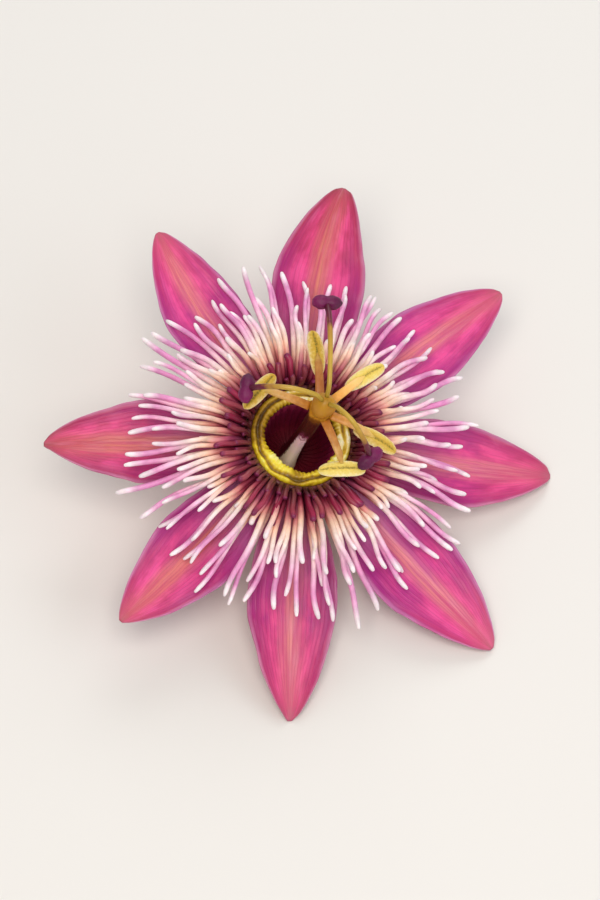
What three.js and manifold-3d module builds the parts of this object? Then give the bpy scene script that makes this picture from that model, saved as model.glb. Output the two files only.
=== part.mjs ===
import * as THREE from "three";
import { mergeVertices } from "three/addons/utils/BufferGeometryUtils.js";
import Module from "manifold-3d";

// A passion flower as picked: it lies face up on two of its sepals' tips and on its cut stalk.
// Millimetres, +Z up. The flower is drawn in a frame of its own, whose +Z is the flower's axis
// and whose z = 0 is the plane where the petals leave the floral cup. The whole flower then
// leans over. Azimuths are in degrees, anticlockwise seen from above.

// Driving dimensions
const lean = { angle: 18, towards: -48 }; // of the axis, off the vertical
const petalPlaneHeight = 19.5; // of the frame's origin, above the surface that it lies on
const seatGap = 0.3; // between two pieces that touch

const cup = { rimRadius: 11.6, depth: 11.4, floorDepth: 9.5, lobes: 4, lobeHeight: 0.45 };
const lining = { rimRadius: 7.8, holeRadius: 2.7, pleats: 24, pleatHeight: 0.16 };
const nectary = { radius: 8.5, halfWidth: 1.35, halfHeight: 1.15, middle: 1.5, scallop: 0.16 };
const column = { footRadius: 2.25, radius: 1.7, topRadius: 2.35, top: 20.2 };
const ovary = { radius: 2.35, height: 5.2 };
const stalk = { radius: 1.2, sides: 10 };
const roundSides = 18; // round the column and the ovary
const ringSides = 48; // round the cup's lining, the nectary and the corona's bases

const petalRoot = { radius: 11.9, thickness: 0.7, height: -0.75 };
const sepalRoot = { radius: 11.9, thickness: 0.9, height: -1.9 };

// Two whorls of four, the sepals below the petals. reach is the tip's distance from the axis
// and tip its height; a sepal that touches the surface has no tip height of its own. bow is how
// far the middle of the blade stands aside of the line from root to tip.
const sepals = [
  { azimuth: 81, reach: 55.6, width: 18.4, tip: -4.8, bow: 1.8, raise: 1.5, phase: 0.1 },
  { azimuth: 0, reach: 52.6, width: 17.4, bow: -1.2, raise: 1.7, phase: 0.6 },
  { azimuth: -89, reach: 54.4, width: 17.6, bow: -0.6, raise: 1.3, phase: 0.35 },
  { azimuth: -176, reach: 49.2, width: 16.6, tip: -5.6, bow: 0.3, raise: 1.6, phase: 0.8 },
];
const petals = [
  { azimuth: 41, reach: 54, width: 16.6, tip: -3.2, bow: 0.2, raise: 0.7, phase: 0.2 },
  { azimuth: -44, reach: 55, width: 18.8, tip: -1.9, bow: -0.5, raise: 0.9, phase: 0.55 },
  { azimuth: -131, reach: 50.4, width: 16.8, tip: -4, bow: 0.7, raise: 0.8, phase: 0.9 },
  { azimuth: 125, reach: 50.2, width: 16, tip: -3, bow: 1.8, raise: 0.7, phase: 0.4 },
];

// The rows of filaments: where they root and reach as [radius, height], and how they rise and
// waver. thick is half a filament's thickness at its root and at its tip.
const outerRows = [
  { root: [11.9, 1], knee: [17, 2.5], tip: [36.4, 2], arch: 1.3, waver: 1.3, thick: [0.52, 0.36] },
  { root: [11.7, 1.7], knee: [16, 4.3], tip: [32.4, 5], arch: 1.6, waver: 1.2, thick: [0.5, 0.35] },
];
const innerRows = [
  { root: [10.4, 1.8], knee: [11.5, 4], tip: [17, 6.6], arch: 0.7, waver: 0.5, thick: [0.4, 0.52] },
];
const outerRow = { count: 36, steps: 6 };
const innerRow = { count: 40, steps: 4 };
const outerBase = { inner: 11.15, outer: 12.35, bottom: 0.3, top: 1.95 };
const innerBase = { inner: 9.9, outer: 10.85, bottom: 0.3, top: 2.2 };

// Five stamens and three styles; turn is how far an anther is turned across its filament.
const stamens = [
  { azimuth: 94, turn: 6 },
  { azimuth: 42, turn: -6 },
  { azimuth: -22, turn: -4 },
  { azimuth: -66, turn: 72 },
  { azimuth: 164, turn: 68 },
];
const stamen = { root: 2.65, reach: 11.6, width: 1.7, thickness: 0.8, height: 19.7 };
const anther = { length: 9.4, width: 2.8, thickness: 1.9, drop: 1.1 };
const styles = [
  { azimuth: 91, reach: 19.9, end: 25 },
  { azimuth: -46, reach: 13.4, end: 22.4 },
  { azimuth: 173, reach: 15.2, end: 23 },
];
const style = { root: 1.1, crest: 28.4, thin: 0.5, thick: 0.68 };
const stigma = { across: 5, high: 3.2, long: 3.4 };

const colours = {
  stalk: 0x8fa04a,
  cup: 0xa9b04d,
  lining: 0x3d0a1c,
  nectary: 0xb8a02c,
  sepal: 0xd8407f,
  petal: 0xe05aa6,
  outerCorona: 0xe9bddc,
  innerCorona: 0x5a0e30,
  column: 0xc9b46a,
  ovary: 0xb9b23e,
  stamen: 0xd9b23a,
  style: 0x3b1026,
};

const wasm = await Module();
wasm.setup();

// The same numbers on every run, from 0 to 1.
function seededRandom(seed) {
  let state = seed;
  return () => {
    state = (state * 1664525 + 1013904223) % 4294967296;
    return state / 4294967296;
  };
}

const radians = THREE.MathUtils.degToRad;
const polar = (radius, azimuth, z) =>
  new THREE.Vector3(radius * Math.cos(radians(azimuth)), radius * Math.sin(radians(azimuth)), z);

// A closed surface as one solid. It is turned if its faces point inwards.
function solidOf(geometry) {
  const bare = new THREE.BufferGeometry();
  bare.setAttribute("position", geometry.getAttribute("position"));
  bare.setIndex(geometry.getIndex());
  const merged = mergeVertices(bare, 1e-4);
  const triVerts = new Uint32Array(merged.index.array);
  const make = () =>
    new wasm.Manifold(
      new wasm.Mesh({ numProp: 3, vertProperties: merged.attributes.position.array, triVerts }),
    );
  const solid = make();
  if (solid.volume() > 0) return solid;
  for (let i = 0; i < triVerts.length; i += 3)
    [triVerts[i + 1], triVerts[i + 2]] = [triVerts[i + 2], triVerts[i + 1]];
  return make();
}

// Several closed surfaces as one body.
function fuse(geometries) {
  const sliver = 0.01;
  const joined = wasm.Manifold.union(geometries.map(solidOf)).simplify(sliver);
  const { vertProperties, triVerts } = joined.getMesh();
  const geometry = new THREE.BufferGeometry();
  geometry.setAttribute("position", new THREE.BufferAttribute(new Float32Array(vertProperties), 3));
  geometry.setIndex(new THREE.BufferAttribute(new Uint32Array(triVerts), 1));
  return geometry;
}

// A body of revolution round +Z from [radius, z] pairs. shape may move a point by its azimuth.
function revolve(profile, segments, shape) {
  const geometry = new THREE.LatheGeometry(
    profile.map(([radius, z]) => new THREE.Vector2(radius, z)),
    segments,
  );
  geometry.rotateX(Math.PI / 2);
  if (!shape) return fuse([geometry]);
  const position = geometry.getAttribute("position");
  for (let i = 0; i < position.count; i++) {
    const radius = Math.hypot(position.getX(i), position.getY(i));
    const azimuth = Math.atan2(position.getY(i), position.getX(i));
    const moved = shape(radius, azimuth, position.getZ(i), i % profile.length);
    position.setXYZ(i, moved.radius * Math.cos(azimuth), moved.radius * Math.sin(azimuth), moved.z);
  }
  return fuse([geometry]);
}

// A closed skin over a row of rings that have as many points each, with a flat fan at each end.
function skin(rings) {
  const sides = rings[0].length;
  const points = rings.flat();
  const index = [];
  for (let i = 0; i + 1 < rings.length; i++)
    for (let j = 0; j < sides; j++) {
      const a = i * sides + j;
      const b = i * sides + ((j + 1) % sides);
      index.push(a, b, b + sides, a, b + sides, a + sides);
    }
  const last = (rings.length - 1) * sides;
  for (let j = 1; j + 1 < sides; j++) {
    index.push(0, j + 1, j);
    index.push(last, last + j, last + j + 1);
  }
  return new THREE.BufferGeometry().setFromPoints(points).setIndex(index);
}

// A tube along a curve: half its width and half its thickness may change on the way.
function tube(curve, steps, sides, halfWidth, halfThickness = halfWidth) {
  const rings = [];
  for (let i = 0; i <= steps; i++) {
    const t = i / steps;
    const middle = curve.getPointAt(t);
    const along = curve.getTangentAt(t);
    const across = new THREE.Vector3(0, 0, 1).cross(along).normalize();
    const up = along.clone().cross(across);
    rings.push(
      Array.from({ length: sides }, (_, j) => {
        const turn = (2 * Math.PI * j) / sides;
        return middle
          .clone()
          .addScaledVector(across, halfWidth(t) * Math.cos(turn))
          .addScaledVector(up, halfThickness(t) * Math.sin(turn));
      }),
    );
  }
  return skin(rings);
}

// Half the blade's width along it, as a share of its widest, from the root to the pointed tip.
const bladeOutline = new THREE.SplineCurve(
  [
    [0, 0.44],
    [0.12, 0.68],
    [0.25, 0.88],
    [0.44, 1],
    [0.58, 0.91],
    [0.78, 0.6],
    [0.9, 0.33],
    [1, 0.045],
  ].map(([along, share]) => new THREE.Vector2(along, share)),
);

const leanAxis = new THREE.Vector3(-Math.sin(radians(lean.towards)), Math.cos(radians(lean.towards)), 0);
const leanTurn = new THREE.Quaternion().setFromAxisAngle(leanAxis, radians(lean.angle));
const upInFlower = new THREE.Vector3(0, 0, 1).applyQuaternion(leanTurn.clone().invert());

// The height in the flower's frame at which a tip lies just on the surface.
function touchingHeight(azimuth, reach, thickness) {
  const foot = polar(reach, azimuth, 0);
  return -(petalPlaneHeight + foot.dot(upInFlower)) / upInFlower.z + thickness / 2;
}

// One petal or sepal: a thin arched blade, its edges raised towards the tip and a little wavy.
function blade({ azimuth, reach, width, tip, bow, raise, phase }, root) {
  const stations = 13;
  const strips = 8;
  const waves = 2.3;
  const waveHeight = 0.35;
  const tipHeight = tip ?? touchingHeight(azimuth, reach, root.thickness);
  const top = [];
  for (let i = 0; i <= stations; i++) {
    const outline = bladeOutline.getPoint(i / stations);
    const s = outline.x;
    const half = (outline.y * width) / 2;
    const radial = root.radius + (reach - root.radius) * s;
    const height = root.height + (tipHeight - root.height) * s ** 1.7;
    for (let j = 0; j <= strips; j++) {
      const t = (2 * j) / strips - 1;
      const rise = raise * Math.sin(Math.PI * s ** 1.3) * (t * t - 0.2);
      const ripple = Math.sin(2 * Math.PI * (waves * s + phase * Math.sign(t)));
      const wave = waveHeight * ripple * t * t * Math.sin(Math.PI * s);
      top.push(new THREE.Vector3(radial, bow * 4 * s * (1 - s) + half * t, height + rise + wave));
    }
  }
  const down = new THREE.Vector3(0, 0, root.thickness);
  const upper = top.map((p) => p.clone().addScaledVector(down, 0.5));
  const lower = top.map((p) => p.clone().addScaledVector(down, -0.5));
  const row = strips + 1;
  const under = upper.length;
  const index = [];
  for (let i = 0; i < stations; i++)
    for (let j = 0; j < strips; j++) {
      const a = i * row + j;
      index.push(a, a + row, a + row + 1, a, a + row + 1, a + 1);
      const b = under + a;
      index.push(b, b + row + 1, b + row, b, b + 1, b + row + 1);
    }
  const wall = (a, b) => index.push(a, under + b, b, a, under + a, under + b);
  for (let i = 0; i < stations; i++) {
    wall(i * row, (i + 1) * row);
    wall((i + 1) * row + strips, i * row + strips);
  }
  for (let j = 0; j < strips; j++) {
    wall(j + 1, j);
    wall(stations * row + j, stations * row + j + 1);
  }
  const geometry = new THREE.BufferGeometry().setFromPoints([...upper, ...lower]).setIndex(index);
  geometry.rotateZ(radians(azimuth));
  return fuse([geometry]);
}

// A low ring on the cup's rim that one or two rows of filaments grow from.
function coronaBase({ inner, outer, bottom, top }) {
  const bevel = 0.3;
  return revolve(
    [
      [inner, bottom],
      [outer, bottom],
      [outer, top - bevel],
      [outer - bevel, top],
      [inner + bevel, top],
      [inner, top - bevel],
      [inner, bottom],
    ],
    ringSides,
  );
}

// Filaments spread all round, each a little out of step in length, height and bend.
function filaments({ root, knee, tip, arch, waver, thick }, { count, steps }, firstAzimuth, random) {
  const sides = 3;
  const upAxis = new THREE.Vector3(0, 0, 1);
  return Array.from({ length: count }, (_, i) => {
    const azimuth = firstAzimuth + (360 / count) * (i + 0.25 * (random() - 0.5));
    const reach = tip[0] * (1 - 0.1 * random());
    const side = waver * (random() - 0.5);
    const lift = waver * (random() - 0.5);
    const between = (share) => knee[0] + (reach - knee[0]) * share;
    const local = [
      [root[0], 0, root[1]],
      [knee[0], 0, knee[1]],
      [between(0.45), side, (knee[1] + tip[1]) / 2 + arch * 0.6],
      [between(0.75), -side, tip[1] + arch * 0.5],
      [between(1), side * 0.6, tip[1] + lift],
    ];
    const curve = new THREE.CatmullRomCurve3(
      local.map(([x, y, z]) => new THREE.Vector3(x, y, z).applyAxisAngle(upAxis, radians(azimuth))),
    );
    return tube(curve, steps, sides, (t) => THREE.MathUtils.lerp(thick[0], thick[1], t));
  });
}

function corona(base, rows, layout, seed) {
  const random = seededRandom(seed);
  const halfStep = 180 / layout.count;
  const spread = rows.flatMap((row, i) => filaments(row, layout, i * halfStep, random));
  return fuse([coronaBase(base), ...spread]);
}

// The floral cup: a deep bowl, swollen into low lobes between the sepals.
function floralCup() {
  const { rimRadius, depth, floorDepth, lobes, lobeHeight } = cup;
  const outside = [
    [0, -depth],
    [1.9, -depth],
    [5.4, -depth + 0.8],
    [8.7, -depth + 3.1],
    [10.7, -depth + 6.4],
    [rimRadius, -2.8],
    [rimRadius, 0],
  ];
  const inside = [
    [8.15, 0],
    [7.8, -3.2],
    [6.6, -7.3],
    [3.2, -floorDepth],
    [0, -floorDepth],
  ];
  return revolve([...outside, ...inside], 32, (radius, azimuth, z, station) => {
    const swelling = station > 0 && station < 5 ? lobeHeight * Math.cos(lobes * azimuth) : 0;
    return { radius: radius + swelling * (radius / rimRadius), z };
  });
}

// The pleated membrane that lines the cup, open in the middle for the column.
function cupLining() {
  const { rimRadius, holeRadius, pleats, pleatHeight } = lining;
  const profile = [
    [rimRadius, 0.1],
    [rimRadius - 0.35, -3],
    [rimRadius - 1.55, -7],
    [holeRadius + 0.35, -9.15],
    [holeRadius, -8.4],
    [5.4, -6.7],
    [6.5, -3],
    [6.95, 0.1],
    [rimRadius, 0.1],
  ];
  return revolve(profile, ringSides, (radius, azimuth, z, station) => {
    const inFold = station >= 5 && station <= 6 ? pleatHeight * Math.sin(pleats * azimuth) : 0;
    return { radius: radius + inFold, z };
  });
}

// The fleshy ring round the cup's mouth, rounded and slightly scalloped.
function nectaryRing() {
  const { radius: middleRadius, halfWidth, halfHeight, middle, scallop } = nectary;
  const sides = 8;
  const profile = Array.from({ length: sides + 1 }, (_, i) => {
    const turn = (2 * Math.PI * i) / sides;
    return [middleRadius + halfWidth * Math.cos(turn), middle + halfHeight * Math.sin(turn)];
  });
  return revolve(profile, ringSides, (radius, azimuth, z) => {
    const wave = scallop * (Math.sin(11 * azimuth) + 0.6 * Math.sin(7 * azimuth + 1));
    const upper = z > middle ? 1 : 0;
    return { radius: radius + wave * 0.6 * (radius > middleRadius ? 0.5 : 1), z: z + wave * upper };
  });
}

function columnGeometry() {
  const { footRadius, radius, topRadius, top } = column;
  const foot = -cup.floorDepth + seatGap;
  return revolve(
    [
      [0, foot],
      [footRadius, foot],
      [footRadius, foot + 0.9],
      [radius + 0.25, foot + 2.2],
      [radius, foot + 8],
      [radius - 0.1, top - 8],
      [radius + 0.1, top - 3],
      [topRadius - 0.15, top - 1],
      [topRadius, top - 0.5],
      [topRadius - 0.3, top],
      [0, top],
    ],
    roundSides,
  );
}

// The ovary: a blunt egg with three shallow furrows.
function ovaryGeometry() {
  const bottom = column.top + seatGap;
  const shares = [
    [0, 0],
    [0.62, 0],
    [0.92, 0.2],
    [1, 0.42],
    [0.93, 0.64],
    [0.68, 0.86],
    [0.35, 0.97],
    [0, 1],
  ];
  const furrow = 0.05;
  const profile = shares.map(([r, z]) => [r * ovary.radius, bottom + z * ovary.height]);
  return revolve(profile, roundSides, (radius, azimuth, z) => ({
    radius: radius * (1 + furrow * Math.cos(3 * azimuth)),
    z,
  }));
}

// A strap-like filament and the anther that hangs across its end.
function stamenGeometry({ azimuth, turn }) {
  const { root, reach, width, thickness, height } = stamen;
  const curve = new THREE.CatmullRomCurve3([
    new THREE.Vector3(root, 0, height),
    new THREE.Vector3(root + 3, 0, height + 0.35),
    new THREE.Vector3(reach - 2.6, 0, height + 0.3),
    new THREE.Vector3(reach, 0, height - 0.5),
  ]);
  const narrowing = (t) => (width / 2) * (1 - 0.45 * t);
  const filament = tube(curve, 6, 6, narrowing, () => thickness / 2);
  const body = new THREE.SphereGeometry(0.5, 10, 8);
  body.scale(anther.thickness, anther.width, anther.length);
  body.rotateY(Math.PI / 2);
  const position = body.getAttribute("position");
  const bend = 0.045;
  for (let i = 0; i < position.count; i++)
    position.setZ(i, position.getZ(i) - bend * position.getX(i) ** 2);
  body.rotateZ(radians(turn));
  body.translate(reach + 0.4, 0, height - anther.drop);
  return fuse([filament, body]).rotateZ(radians(azimuth));
}

// A style that arches out over the stamens and ends in a club-shaped stigma.
function styleGeometry({ azimuth, reach, end }) {
  const { root, crest, thin, thick } = style;
  const rootHeight = column.top + ovary.height + seatGap;
  const curve = new THREE.CatmullRomCurve3([
    new THREE.Vector3(root, 0, rootHeight),
    new THREE.Vector3(root + 2, 0, crest - 0.7),
    new THREE.Vector3(reach * 0.5, 0, crest),
    new THREE.Vector3(reach * 0.8, 0, (crest + end) / 2 + 0.6),
    new THREE.Vector3(reach, 0, end),
  ]);
  const stem = tube(curve, 8, 6, (t) => THREE.MathUtils.lerp(thin, thick, t ** 2));
  const club = new THREE.SphereGeometry(0.5, 10, 8);
  club.scale(stigma.high, stigma.across, stigma.long);
  const slant = new THREE.Quaternion();
  slant.setFromUnitVectors(new THREE.Vector3(0, 0, 1), curve.getTangentAt(1));
  club.applyQuaternion(slant);
  club.translate(reach, 0, end);
  return fuse([stem, club]).rotateZ(radians(azimuth));
}

// The cut stalk: out of the cup's bottom along the flower's axis, then down on to the surface.
function stalkGeometry() {
  const origin = new THREE.Vector3(0, 0, petalPlaneHeight);
  const outward = new THREE.Vector3(0, 0, -1).applyQuaternion(leanTurn);
  const start = origin.clone().addScaledVector(outward, cup.depth + seatGap);
  const low = stalk.radius;
  const route = new THREE.CatmullRomCurve3([
    start,
    start.clone().addScaledVector(outward, 2.2),
    new THREE.Vector3(start.x - 3.6, start.y + 5.6, low + 0.9),
    new THREE.Vector3(start.x - 5.6, start.y + 11.5, low),
    new THREE.Vector3(start.x - 7.6, start.y + 19, low),
    new THREE.Vector3(start.x - 10.6, start.y + 27, low),
    new THREE.Vector3(start.x - 14.6, start.y + 34, low),
  ]);
  const section = new THREE.Shape(
    Array.from({ length: stalk.sides }, (_, i) => {
      const turn = (2 * Math.PI * i) / stalk.sides;
      return new THREE.Vector2(stalk.radius * Math.cos(turn), stalk.radius * Math.sin(turn));
    }),
  );
  return fuse([new THREE.ExtrudeGeometry(section, { extrudePath: route, steps: 26, curveSegments: 1 })]);
}

function mesh(name, geometry, colour, roughness = 0.6) {
  const material = new THREE.MeshStandardMaterial({ color: colour, roughness, metalness: 0 });
  geometry.computeVertexNormals();
  const made = new THREE.Mesh(geometry, material);
  made.name = name;
  return made;
}

const flower = new THREE.Group();
flower.quaternion.copy(leanTurn);
flower.position.z = petalPlaneHeight;
flower.add(
  mesh("floral_cup", floralCup(), colours.cup),
  mesh("cup_lining", cupLining(), colours.lining, 0.4),
  mesh("nectary_ring", nectaryRing(), colours.nectary, 0.5),
  mesh("corona_outer", corona(outerBase, outerRows, outerRow, 11), colours.outerCorona),
  mesh("corona_inner", corona(innerBase, innerRows, innerRow, 5), colours.innerCorona),
  mesh("column", columnGeometry(), colours.column, 0.5),
  mesh("ovary", ovaryGeometry(), colours.ovary, 0.5),
);
sepals.forEach((sepal, i) => flower.add(mesh(`sepal_${i + 1}`, blade(sepal, sepalRoot), colours.sepal)));
petals.forEach((petal, i) => flower.add(mesh(`petal_${i + 1}`, blade(petal, petalRoot), colours.petal)));
stamens.forEach((one, i) => flower.add(mesh(`stamen_${i + 1}`, stamenGeometry(one), colours.stamen)));
styles.forEach((one, i) => flower.add(mesh(`style_${i + 1}`, styleGeometry(one), colours.style, 0.35)));

const passionFlower = new THREE.Group();
passionFlower.add(flower, mesh("stalk", stalkGeometry(), colours.stalk));

// The origin goes to the middle of the bottom of the whole flower's box.
const box = new THREE.Box3().setFromObject(passionFlower, true);
const middle = box.getCenter(new THREE.Vector3());
passionFlower.position.set(-middle.x, -middle.y, -box.min.z);

export default passionFlower;
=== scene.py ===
import math
from functools import partial

import bmesh
import bpy
import numpy as np
from mathutils import Matrix, Vector, noise


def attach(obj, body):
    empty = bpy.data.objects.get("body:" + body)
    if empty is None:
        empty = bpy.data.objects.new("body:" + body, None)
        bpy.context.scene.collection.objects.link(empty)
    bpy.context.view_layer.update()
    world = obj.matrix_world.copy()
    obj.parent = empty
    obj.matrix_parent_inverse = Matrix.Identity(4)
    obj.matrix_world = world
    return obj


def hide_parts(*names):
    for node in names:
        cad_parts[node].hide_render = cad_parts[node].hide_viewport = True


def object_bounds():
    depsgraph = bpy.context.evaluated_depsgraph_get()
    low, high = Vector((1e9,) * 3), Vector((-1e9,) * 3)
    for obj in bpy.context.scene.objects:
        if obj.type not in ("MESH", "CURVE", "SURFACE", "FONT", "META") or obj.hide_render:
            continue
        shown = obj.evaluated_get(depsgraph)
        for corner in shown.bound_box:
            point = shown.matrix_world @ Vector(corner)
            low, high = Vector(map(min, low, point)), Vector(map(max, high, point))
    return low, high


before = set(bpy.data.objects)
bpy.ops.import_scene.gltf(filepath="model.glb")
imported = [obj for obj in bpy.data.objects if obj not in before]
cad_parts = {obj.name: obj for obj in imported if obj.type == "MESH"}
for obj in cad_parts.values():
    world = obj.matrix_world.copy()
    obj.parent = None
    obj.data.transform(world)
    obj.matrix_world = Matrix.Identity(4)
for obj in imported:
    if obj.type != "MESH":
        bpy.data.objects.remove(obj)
cadLow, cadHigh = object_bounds()
mm = 0.001
print("frame loaded, box", [round(side / mm, 1) for side in cadHigh - cadLow], "mm")


def linear(hexColour):
    # an sRGB hex colour as the linear values that a shader wants
    parts = [int(hexColour[i : i + 2], 16) / 255 for i in (1, 3, 5)]
    return (*[part / 12.92 if part <= 0.04045 else ((part + 0.055) / 1.055) ** 2.4 for part in parts], 1.0)


def setInputs(node, inputs):
    # gives each input a plain value, a hex colour, another node or one output of a node
    for socket, value in inputs.items():
        if isinstance(value, bpy.types.Node):
            value = next(output for output in value.outputs if output.enabled)
        if isinstance(value, bpy.types.NodeSocket):
            node.id_data.links.new(value, node.inputs[socket])
        elif isinstance(value, str) and value.startswith("#"):
            node.inputs[socket].default_value = linear(value)
        else:
            node.inputs[socket].default_value = value


def addNode(tree, kind, inputs=(), stops=None, **settings):
    # a node with its settings and links; a kind in capitals is a maths operation. inputs are named, or
    # a list for the sockets in use, and stops are a ramp's places with their hex colours or greys
    if kind.isupper():
        kind, settings["operation"] = "ShaderNodeMath", kind
    node = tree.nodes.new(kind)
    for name, value in settings.items():
        setattr(node, name, value)
    if not isinstance(inputs, dict):
        inputs = dict(zip([i for i, socket in enumerate(node.inputs) if socket.enabled], inputs))
    setInputs(node, inputs)
    if stops:
        elements = node.color_ramp.elements
        while len(elements) < len(stops):
            elements.new(0.5)
        for element, (position, value) in zip(elements, stops.items()):
            element.position = position
            element.color = linear(value) if isinstance(value, str) else (value, value, value, 1)
    return node


def newMaterial(name, values, *marks):
    # a material with its principled shader and its output, what adds a node to its tree, and the
    # marks of the mesh that it reads
    material = bpy.data.materials.new(name)
    material.use_nodes = True
    tree = material.node_tree
    tree.nodes.clear()
    add = partial(addNode, tree)
    shader = add("ShaderNodeBsdfPrincipled", values)
    add("ShaderNodeOutputMaterial", {"Surface": shader})
    given = [add("ShaderNodeAttribute", attribute_name=mark).outputs["Fac"] for mark in marks]
    return material, shader, add, given


def newObject(name, data):
    thing = bpy.data.objects.new(name, data)
    bpy.context.scene.collection.objects.link(thing)
    return thing


def smoothCurve(corners, count, stepsPerCorner=24):
    # a Catmull-Rom curve through the corners, as points evenly spaced along it
    corners = np.array(corners, float)
    ends = np.vstack([2 * corners[0] - corners[1], corners, 2 * corners[-1] - corners[-2]])
    u = np.linspace(0, 1, stepsPerCorner + 1)[:-1, None]
    runs = []
    for a, b, c, d in zip(ends, ends[1:], ends[2:], ends[3:]):
        bent = (c - a) * u + (2 * a - 5 * b + 4 * c - d) * u**2 + (3 * b - a - 3 * c + d) * u**3
        runs.append(b + bent / 2)
    fine = np.vstack([*runs, corners[-1:]])
    reached = np.concatenate([[0], np.cumsum(np.linalg.norm(np.diff(fine, axis=0), axis=1))])
    wanted = np.linspace(0, reached[-1], count)
    return np.stack([np.interp(wanted, reached, fine[:, axis]) for axis in range(fine.shape[1])], axis=1)


def fade(low, high, value):
    # 0 below low and 1 above high, with a soft turn between them
    x = np.clip((value - low) / (high - low), 0, 1)
    return x * x * (3 - 2 * x)


def bell(value, width):
    return np.exp(-((value / width) ** 2))


def lumps(*places, seed, size=1):
    # smooth noise from -1 to 1, with lumps about as large as size
    points = np.stack(np.broadcast_arrays(*places), -1)
    flat = points.reshape(-1, 3) / size + seed
    return np.array([noise.noise(Vector(p)) for p in flat]).reshape(points.shape[:-1])


def wholeTurn(count):
    # angles evenly round a circle
    return np.linspace(0, 2 * math.pi, count, endpoint=False)


def aroundAxis(radius, turn, height):
    return np.stack([radius * np.cos(turn), radius * np.sin(turn), height], -1)


def facing(turn, degrees):
    # 1 on the side at these degrees round the axis, -1 on the far side
    return np.cos(turn - math.radians(degrees))


def ringSkin(points, wrap=False, material=0, **marks):
    # rows of closed rings as one skin; without wrap both ends close in a fan. marks are kept as
    # attributes that the materials read
    rows, columns = points.shape[:2]
    vertices = points.reshape(-1, 3)
    marks = {name: np.broadcast_to(value, (rows, columns)).reshape(-1) for name, value in marks.items()}
    i, j = np.meshgrid(np.arange(rows if wrap else rows - 1), np.arange(columns), indexing="ij")
    i2, j2 = (i + 1) % rows, (j + 1) % columns
    faces = np.stack([i * columns + j, i * columns + j2, i2 * columns + j2, i2 * columns + j], -1)
    faces = faces.reshape(-1, 4).tolist()
    if not wrap:
        hub = rows * columns
        for row in (0, rows - 1):
            start = row * columns
            faces += [[hub, start + k, start + (k + 1) % columns] for k in range(columns)]
            vertices = np.vstack([vertices, points[row].mean(0)])
            for name in marks:
                marks[name] = np.append(marks[name], marks[name][start : start + columns].mean())
            hub += 1
    return {"vertices": vertices, "faces": faces, "marks": marks, "material": material}


def sweep(line, halfWidth, halfThickness, sides=12, **marks):
    # a tube along a line of points, flat where it is thinner than wide
    along = np.gradient(line, axis=0)
    along /= np.linalg.norm(along, axis=1, keepdims=True)
    across = np.cross([0, 0, 1], along)
    across /= np.linalg.norm(across, axis=1, keepdims=True)
    up = np.cross(along, across)
    turn = wholeTurn(sides)[None, :, None]
    wide = halfWidth[:, None, None] * np.cos(turn) * across[:, None]
    thick = halfThickness[:, None, None] * np.sin(turn) * up[:, None]
    return ringSkin(line[:, None] + wide + thick, along=np.linspace(0, 1, len(line))[:, None], **marks)


frontLeft = 250  # degrees round the axis, the side that faces the picture's lower left


def lathe(profile, sides, shape=None, wrap=False, **marks):
    # rings round the flower's axis, one for each (radius, height) of the profile
    profile = np.array(profile, float)
    turn = wholeTurn(sides)[None, :]
    radius, height = np.repeat(profile[:, :1], sides, 1), np.repeat(profile[:, 1:], sides, 1)
    share = np.linspace(0, 1, len(profile))[:, None]
    if shape:
        radius, height = shape(radius, height, turn, share)
    marks = {"along": share, "around": facing(turn, frontLeft) / 2 + 0.5, **marks}
    return ringSkin(aroundAxis(radius, turn, height), wrap=wrap, **marks)


def turned(part, degrees):
    # the part turned round the flower's axis
    angle = math.radians(degrees)
    x, y, z = part["vertices"].T
    vertices = [x * math.cos(angle) - y * math.sin(angle), x * math.sin(angle) + y * math.cos(angle), z]
    return {**part, "vertices": np.stack(vertices, 1)}


# The flower is drawn in a frame of its own, in millimetres: +Z is its axis, and its petals leave
# the cup at z = 0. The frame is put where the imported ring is.
pose = dict(leanAngle=18, leanTowards=-48, petalPlaneHeight=19.5, ringMiddle=1.5)

leanDirection = math.radians(pose["leanTowards"])
leanAxis = Vector((-math.sin(leanDirection), math.cos(leanDirection), 0))
leanTurn = Matrix.Rotation(math.radians(pose["leanAngle"]), 4, leanAxis)
ringPoints = [vertex.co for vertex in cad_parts["nectary_ring"].data.vertices]
ringCentre = sum(ringPoints, Vector()) / len(ringPoints)
flowerOrigin = ringCentre - leanTurn @ Vector((0, 0, pose["ringMiddle"] * mm))
flowerToWorld = Matrix.Translation(flowerOrigin) @ leanTurn @ Matrix.Scale(mm, 4)
upInFlower = leanTurn.inverted() @ Vector((0, 0, 1))


def makePiece(name, parts, materials, nodes, place=flowerToWorld):
    # the parts as one object at the origin, in place of its CAD nodes
    vertices, faces, materialOf = [], [], []
    marks = {mark: [] for part in parts for mark in part["marks"]}
    for part in parts:
        start, count = len(vertices), len(part["vertices"])
        vertices += part["vertices"].tolist()
        faces += [[start + corner for corner in face] for face in part["faces"]]
        materialOf += [part["material"]] * len(part["faces"])
        for mark, values in marks.items():
            values += list(part["marks"].get(mark, np.zeros(count)))
    mesh = bpy.data.meshes.new(name)
    mesh.from_pydata(vertices, [], faces)
    for mark, values in marks.items():
        mesh.attributes.new(mark, "FLOAT", "POINT").data.foreach_set("value", np.array(values, np.float32))
    for material in materials:
        mesh.materials.append(material)
    mesh.polygons.foreach_set("material_index", materialOf)
    mesh.polygons.foreach_set("use_smooth", [True] * len(faces))
    mesh.transform(place)
    shell = bmesh.new()
    shell.from_mesh(mesh)
    bmesh.ops.recalc_face_normals(shell, faces=shell.faces)
    shell.to_mesh(mesh)
    shell.free()
    piece = newObject(name, mesh)
    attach(piece, "root")
    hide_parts(*nodes)


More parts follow.
